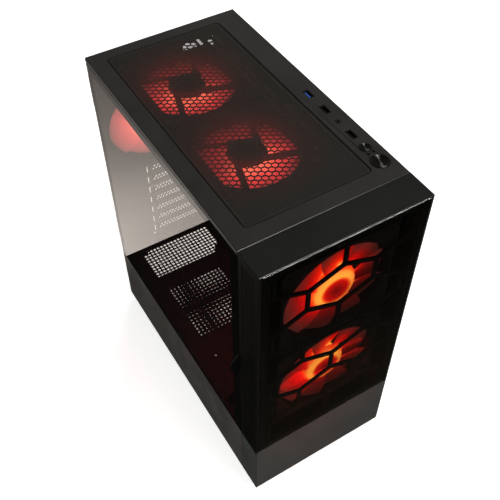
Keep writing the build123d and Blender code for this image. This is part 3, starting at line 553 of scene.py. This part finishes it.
# ------------------------------------------------------------------ rotors
def rotor(name, node, matrix, hub, tip, blades, mat):
    verts, faces = [], []

    def turned(profile, n=64):
        rows = []
        for r, z in profile:
            row = []
            for i in range(n):
                a = 2 * math.pi * i / n
                verts.append((r * math.cos(a), r * math.sin(a), z))
                row.append(len(verts) - 1)
            rows.append(row)
        faces.extend(ring_faces(rows))
        faces.append(tuple(reversed(rows[0])))
        faces.append(tuple(rows[-1]))

    # cup: closed front with a rounded rim, open towards the struts, and the shaft inside it
    turned([(hub - 6.0, 1.6), (hub - 2.4, 1.75), (hub + 1.0, 3.0), (hub + 4.0, 5.6), (hub + 6.0, 9.0), (hub + 6.2, 10.0), (hub + 5.2, 10.4), (hub + 2.0, 11.6), (hub, 14.0), (hub, 19.4),
            (hub - 1.6, 19.4), (hub - 1.6, 4.6), (hub - 6.0, 3.4)])
    turned([(1.5, 3.4), (1.5, 21.9)], 20)
    nu, nv = 12, 10
    step = 360.0 / blades
    for k in range(blades):
        grid = {}
        for side in (0, 1):
            for iu in range(nu + 1):
                u = iu / nu
                r = (hub - 0.6) + (tip - hub + 0.6) * u
                width = step * (1.75 - 0.05 * u)
                lean = -10.0 * u + 16.0 * u * u
                for iv in range(nv + 1):
                    v = iv / nv
                    a = math.radians(k * step + lean + (v - 0.5) * width)
                    rise = 3.4 + (18.3 - 3.4 - 3.0 * u) * v + 1.4 * math.sin(math.pi * v) + 1.2 * u
                    edge = min(1.0, 4.0 * min(v, 1 - v) + 0.35) * min(1.0, 5.0 * (1 - u) + 0.45)
                    half = 0.75 * edge
                    z = rise + (half if side else -half)
                    verts.append((r * math.cos(a), r * math.sin(a), min(max(z, 1.7), 19.8)))
                    grid[side, iu, iv] = len(verts) - 1
        for iu in range(nu):
            for iv in range(nv):
                faces.append((grid[1, iu, iv], grid[1, iu + 1, iv], grid[1, iu + 1, iv + 1], grid[1, iu, iv + 1]))
                faces.append((grid[0, iu, iv], grid[0, iu, iv + 1], grid[0, iu + 1, iv + 1], grid[0, iu + 1, iv]))
        for iu in range(nu):
            for iv in (0, nv):
                faces.append((grid[0, iu, iv], grid[0, iu + 1, iv], grid[1, iu + 1, iv], grid[1, iu, iv]))
        for iv in range(nv):
            for iu in (0, nu):
                faces.append((grid[0, iu, iv], grid[0, iu, iv + 1], grid[1, iu, iv + 1], grid[1, iu, iv]))
    return put(name, verts, faces, mat, node, node, matrix, smooth=50.0)


def place(x, y, z, back=False):
    m = Matrix.Translation(at(x, y, z))
    if back:
        m = m @ Matrix.Rotation(math.radians(-90.0), 4, "X")
    return m


for fan, spot in FANS.items():
    big = fan.startswith("front")
    rotor(fan + "_vanes", fan + "_rotor", place(*spot), 23.0 if big else 20.5, 65.3 if big else 56.0, 9, GLOW[fan])


# ------------------------------------------------------------- glass panes
def pane(name, node, body, lo, hi, thin, cut, mat):
    """Ground pane: flat faces across the axis `thin`, all arrises cut at 45 degrees."""
    verts, faces = [], []
    a, b = [k for k in range(3) if k != thin]
    rows = []
    for t, inset in ((lo[thin], cut), (lo[thin] + cut, 0.0), (hi[thin] - cut, 0.0), (hi[thin], cut)):
        row = []
        u0, u1, v0, v1 = lo[a] + inset, hi[a] - inset, lo[b] + inset, hi[b] - inset
        c = 1.2
        for u, v in ((u0 + c, v0), (u1 - c, v0), (u1, v0 + c), (u1, v1 - c), (u1 - c, v1), (u0 + c, v1), (u0, v1 - c), (u0, v0 + c)):
            p = [0.0, 0.0, 0.0]
            p[thin], p[a], p[b] = t, u, v
            verts.append(tuple(p))
            row.append(len(verts) - 1)
        rows.append(row)
    faces = ring_faces(rows)
    faces.append(tuple(reversed(rows[0])))
    faces.append(tuple(rows[-1]))
    ob = put(name, verts, faces, mat, body, node)
    ob.visible_shadow = False
    return ob


pane("side_pane", "side_glass", "glass_door", (-102.5, -159.4, 100.6), (-99.5, 197.3, 449.9), 0, 0.5, SIDEGLASS)
pane("front_pane", "front_glass", "front_panel", (-99.4, -197.5, 105.5), (99.4, -194.5, 453.6), 1, 0.25, FRONTGLASS)


# ----------------------------------------------------- woven dust filters
def weave(name, node, body, x0, x1, y0, y1, r, z, pitch, wire, mat):
    """Crossing filaments, warp under weft, trimmed to a rounded rectangle."""
    verts, faces = [], []

    def bar(a, b, along_x, zc):
        w, h = wire / 2, wire * 0.32
        (ax, ay), (bx, by) = a, b
        dx, dy = (0.0, w) if along_x else (w, 0.0)
        i = len(verts)
        for px, py in ((ax, ay), (bx, by)):
            verts.extend([(px - dx, py - dy, zc - h), (px + dx, py + dy, zc - h), (px + dx, py + dy, zc + h), (px - dx, py - dy, zc + h)])
        faces.extend([(i, i + 1, i + 2, i + 3), (i + 7, i + 6, i + 5, i + 4)])
        for k in range(4):
            j = (k + 1) % 4
            faces.append((i + k, i + 4 + k, i + 4 + j, i + j))

    def inset(d):
        return r - math.sqrt(max(r * r - (r - d) ** 2, 0.0)) if d < r else 0.0

    n = int((x1 - x0) / pitch)
    for i in range(n):
        x = x0 + (i + 0.5) * (x1 - x0) / n
        e = inset(min(x - x0, x1 - x))
        bar((x, y0 + e), (x, y1 - e), False, z - 0.09)
    n = int((y1 - y0) / pitch)
    for i in range(n):
        y = y0 + (i + 0.5) * (y1 - y0) / n
        e = inset(min(y - y0, y1 - y))
        bar((x0 + e, y), (x1 - e, y), True, z + 0.09)
    return put(name, verts, faces, mat, body, node)


weave("filter_weave_top", "filter_mesh", "top_filter", -80.9, 69.9, -137.9, 179.9, 4.9, 455.2, 1.25, 0.36, WEAVE_GLOW)
weave("filter_weave_bottom", "psu_filter_mesh", "bottom_filter", -51.0, 51.0, 14.0, 182.0, 0.01, -2.9, 1.4, 0.36, FILTER)


# -------------------------------------------------- perforated side strips
def perforated(name, node, body, xs, y0, y1, z0, z1, p, q, hole):
    """Sheets with staggered hexagon holes, one at each x range, built cell by cell."""
    verts, faces = [], []
    for xa, xb in xs:
        cols = int((y1 - y0 - 1.6) / p)
        rows = int((z1 - z0 - 3.0) / q)
        ys = (y0 + y1) / 2 - cols * p / 2
        zs = (z0 + z1) / 2 - rows * q / 2

        def quad(pts):
            for x in (xa, xb):
                i = len(verts)
                verts.extend([(x, y, z) for y, z in pts])
                faces.append(tuple(range(i, i + len(pts))))

        for c in range(cols):
            cy = ys + (c + 0.5) * p
            odd = c % 2
            for k in range(rows - odd):
                cz = zs + (k + 0.5 + 0.5 * odd) * q
                ring = [(cy - p / 2, cz - q / 2), (cy + p / 2, cz - q / 2), (cy + p / 2, cz), (cy + p / 2, cz + q / 2), (cy - p / 2, cz + q / 2), (cy - p / 2, cz)]
                inner = [(cy + hole * math.cos(math.radians(a)), cz + hole * math.sin(math.radians(a))) for a in (240, 300, 0, 60, 120, 180)]
                for j in range(6):
                    m = (j + 1) % 6
                    quad([ring[j], ring[m], inner[m], inner[j]])
                    i = len(verts)
                    verts.extend([(xa, *inner[j]), (xa, *inner[m]), (xb, *inner[m]), (xb, *inner[j])])
                    faces.append((i, i + 1, i + 2, i + 3))
            if odd:
                for za, zb in ((zs, zs + q / 2), (zs + (rows - 0.5) * q, zs + rows * q)):
                    quad([(cy - p / 2, za), (cy + p / 2, za), (cy + p / 2, zb), (cy - p / 2, zb)])
        ye, ze = ys + cols * p, zs + rows * q
        quad([(y0, z0), (y1, z0), (y1, zs), (y0, zs)])
        quad([(y0, ze), (y1, ze), (y1, z1), (y0, z1)])
        quad([(y0, zs), (ys, zs), (ys, ze), (y0, ze)])
        quad([(ye, zs), (y1, zs), (y1, ze), (ye, ze)])
        for a, b in (((y0, z0), (y1, z0)), ((y1, z0), (y1, z1)), ((y1, z1), (y0, z1)), ((y0, z1), (y0, z0))):
            i = len(verts)
            verts.extend([(xa, *a), (xa, *b), (xb, *b), (xb, *a)])
            faces.append((i, i + 1, i + 2, i + 3))
    return put(name, verts, faces, VENT, body, node)


perforated("vent_strips", "front_vents", "front_panel", ((-101.9, -100.9), (100.9, 101.9)), -189.5, -166.0, 112.0, 446.5, 2.1, 2.42, 0.78)

# ------------------------------------------------------------- pull strap
outline = [(-102.8, 284.0), (-105.0, 281.8), (-109.6, 276.4), (-112.9, 271.7), (-114.5, 267.0), (-114.0, 260.0), (-112.2, 252.6), (-109.5, 247.6), (-106.4, 247.0),
           (-104.3, 250.0), (-103.3, 260.0), (-102.8, 268.0)]


def smooth_loop(pts, rounds=2):
    for _ in range(rounds):
        out = []
        for i, a in enumerate(pts):
            b = pts[(i + 1) % len(pts)]
            out.append((0.75 * a[0] + 0.25 * b[0], 0.75 * a[1] + 0.25 * b[1]))
            out.append((0.25 * a[0] + 0.75 * b[0], 0.25 * a[1] + 0.75 * b[1]))
        pts = out
    return pts


def strap():
    loop = smooth_loop(outline)
    cx = sum(p[0] for p in loop) / len(loop)
    cz = sum(p[1] for p in loop) / len(loop)
    verts, rows = [], []
    # rounded section: the outline shrinks a little towards both faces, and the face dips inside a raised hem
    for k, dy in ((0.55, -0.62), (0.80, -0.62), (0.90, -0.95), (0.97, -0.8), (1.0, -0.3), (1.0, 0.3), (0.97, 0.8), (0.90, 0.95), (0.80, 0.62), (0.55, 0.62)):
        row = []
        for x, z in loop:
            px, pz = cx + (x - cx) * k, cz + (z - cz) * k
            bend = 0.35 * math.sin((pz - 247.0) / 37.0 * math.pi)
            verts.append((px, -159.7 - 0.3 + dy + bend, pz))
            row.append(len(verts) - 1)
        rows.append(row)
    faces = ring_faces(rows)
    faces.append(tuple(reversed(rows[0])))
    faces.append(tuple(rows[-1]))
    # root: thin tongue through the seam to a pad on the door frame
    for x0, x1, y0, y1 in ((-103.6, -98.0, -159.7, -159.42), (-98.48, -98.0, -159.42, -149.4)):
        i = len(verts)
        for z in (271.0, 283.0):
            verts.extend([(x0, y0, z), (x1, y0, z), (x1, y1, z), (x0, y1, z)])
        faces.extend([(i, i + 3, i + 2, i + 1), (i + 4, i + 5, i + 6, i + 7)])
        for k in range(4):
            j = (k + 1) % 4
            faces.append((i + k, i + j, i + 4 + j, i + 4 + k))
    return put("pull_strap", verts, faces, STRAP, "glass_door", "glass_pull_strap", smooth=60.0)


strap()


# -------------------------------------------------------------------- stage
def stage_plane(name, x0, x1, y0, y1, z, mat):
    me = bpy.data.meshes.new(name)
    me.from_pydata([(x0, y0, z), (x1, y0, z), (x1, y1, z), (x0, y1, z)], [], [(0, 1, 2, 3)])
    me.materials.append(mat)
    ob = bpy.data.objects.new(name, me)
    scene.collection.objects.link(ob)
    return ob


m, nt, b = principled("floor_white", Base_Color=(0.86, 0.86, 0.86, 1.0), Roughness=0.9, Specular_IOR_Level=0.0, Emission_Color=(1.0, 1.0, 1.0, 1.0), Emission_Strength=0.67)
floor = stage_plane("floor", -14.0, 14.0, -14.0, 14.0, 0.0, m)
floor.visible_glossy = False
floor.visible_transmission = False

# bright backdrop behind the case, seen only as the veil on the side glass and through holes
m, nt, b = principled("backdrop_white", Base_Color=(0.0, 0.0, 0.0, 1.0), Roughness=1.0, Specular_IOR_Level=0.0, Emission_Strength=1.0)
tc = nt.nodes.new("ShaderNodeTexCoord")
sep = nt.nodes.new("ShaderNodeSeparateXYZ")
nt.links.new(tc.outputs["Object"], sep.inputs["Vector"])
fade = nt.nodes.new("ShaderNodeValToRGB")
nt.links.new(ranged(nt, sep.outputs["Y"], 0.0, 1.0, 0.25, 0.85), fade.inputs["Fac"])
fe = fade.color_ramp.elements
fe[0].position, fe[0].color = 0.0, (0.88, 0.792, 0.722, 1.0)
fe[1].position, fe[1].color = 1.0, (0.20, 0.18, 0.164, 1.0)
for q, v in ((0.15, 0.86), (0.28, 0.71), (0.38, 0.52), (0.52, 0.37), (0.72, 0.30)):
    e = fe.new(q)
    e.color = (v, v * 0.90, v * 0.82, 1.0)
nt.links.new(fade.outputs["Color"], b.inputs["Emission Color"])
b.inputs["Emission Strength"].default_value = 1.2
card = stage_plane("backdrop", -2.2, 1.8, 0.277, 3.0, 0.0005, m)
card.visible_camera = False
card.visible_diffuse = False
card.visible_shadow = False
m, nt, b = principled("apron_white", Base_Color=(0.0, 0.0, 0.0, 1.0), Roughness=1.0, Specular_IOR_Level=0.0, Emission_Color=(1.0, 0.97, 0.94, 1.0), Emission_Strength=1.8)
for name, box in (("under", (-0.098, 0.112, -0.19, 0.205)), ("apron", (-0.098, 1.8, 0.205, 2.0))):
    apron = stage_plane("backdrop_" + name, *box, 0.0008, m)
    apron.visible_camera = False
    apron.visible_diffuse = False
    apron.visible_glossy = False
    apron.visible_shadow = False

# grey reflector on the floor before the case: the faint sheen low on the front glass
m, nt, b = principled("reflector_grey", Base_Color=(0.0, 0.0, 0.0, 1.0), Roughness=1.0, Specular_IOR_Level=0.0, Emission_Color=(1.0, 0.85, 0.62, 1.0))
tc = nt.nodes.new("ShaderNodeTexCoord")
sep = nt.nodes.new("ShaderNodeSeparateXYZ")
nt.links.new(tc.outputs["Object"], sep.inputs["Vector"])
nt.links.new(ranged(nt, sep.outputs["Y"], 0.002, 0.027, -0.52, -0.30), b.inputs["Emission Strength"])
sheet = stage_plane("front_reflector", -0.40, 0.90, -0.80, -0.21, 0.0006, m)
sheet.visible_camera = False
sheet.visible_diffuse = False
sheet.visible_transmission = False
sheet.visible_shadow = False

world = bpy.data.worlds.new("studio")
scene.world = world
world.use_nodes = True
wt = world.node_tree
wt.nodes.clear()
wo = wt.nodes.new("ShaderNodeOutputWorld")
bg = wt.nodes.new("ShaderNodeBackground")
tc = wt.nodes.new("ShaderNodeTexCoord")
sep = wt.nodes.new("ShaderNodeSeparateXYZ")
ramp = wt.nodes.new("ShaderNodeValToRGB")
wt.links.new(tc.outputs["Generated"], sep.inputs["Vector"])
mr = wt.nodes.new("ShaderNodeMapRange")
mr.inputs["From Min"].default_value = -1.0
mr.inputs["From Max"].default_value = 1.0
wt.links.new(sep.outputs["Z"], mr.inputs["Value"])
wt.links.new(mr.outputs["Result"], ramp.inputs["Fac"])
els = ramp.color_ramp.elements
els[0].position, els[0].color = 0.49, (0.01, 0.01, 0.01, 1.0)
els[1].position, els[1].color = 0.5, (0.95, 0.95, 0.95, 1.0)
for p, v in ((0.60, 0.55), (0.75, 0.20), (0.88, 0.09), (1.0, 0.06)):
    e = els.new(p)
    e.color = (v, v * 0.985, v * 0.96, 1.0)
wt.links.new(ramp.outputs["Color"], bg.inputs["Color"])
bg.inputs["Strength"].default_value = 0.55
wt.links.new(bg.outputs["Background"], wo.inputs["Surface"])


def softbox(name, pos, aim, size, watts, colour=(1.0, 0.98, 0.95)):
    li = bpy.data.lights.new(name, "AREA")
    li.shape = "RECTANGLE"
    li.size, li.size_y = size
    li.energy = watts
    li.color = colour
    ob = bpy.data.objects.new(name, li)
    ob.location = pos
    ob.rotation_euler = (Vector(aim) - Vector(pos)).to_track_quat("-Z", "Y").to_euler()
    scene.collection.objects.link(ob)
    ob.visible_camera = False
    return ob


strip = softbox("front_strip", (0.84, -1.82, 1.68), (0.0, -0.15, 0.45), (1.38, 0.30), 27.0)
along = Vector((0.9, 0.54, -0.28)).normalized()
back = strip.location - Vector((0.0, -0.15, 0.45))
back = (back - along * back.dot(along)).normalized()
strip.rotation_euler = Matrix((along, back.cross(along), back)).transposed().to_euler()
key = softbox("key_top", (0.59, -0.16, 1.88), (0.09, -0.13, 0.47), (0.25, 0.25), 8.0)
key.visible_diffuse = False
left = softbox("left_box", (-2.4, -0.3, 0.65), (0.0, 0.0, 0.2), (1.4, 1.0), 35.0)
left.visible_glossy = False
low = softbox("low_front_box", (-0.3, -2.4, 0.6), (0.0, 0.0, 0.15), (1.6, 0.8), 25.0)
low.visible_glossy = False
rear = softbox("rear_box", (0.55, 0.85, 0.95), (0.0, 0.0, 0.45), (0.5, 0.5), 5.2)
rear.visible_glossy = False
wash = softbox("fan_wash", at(0.0, -156.0, 240.0), at(0.0, 40.0, 60.0), (0.12, 0.2), 2.2, (1.0, 0.02, 0.015))
wash.visible_glossy = False
wash.visible_transmission = False
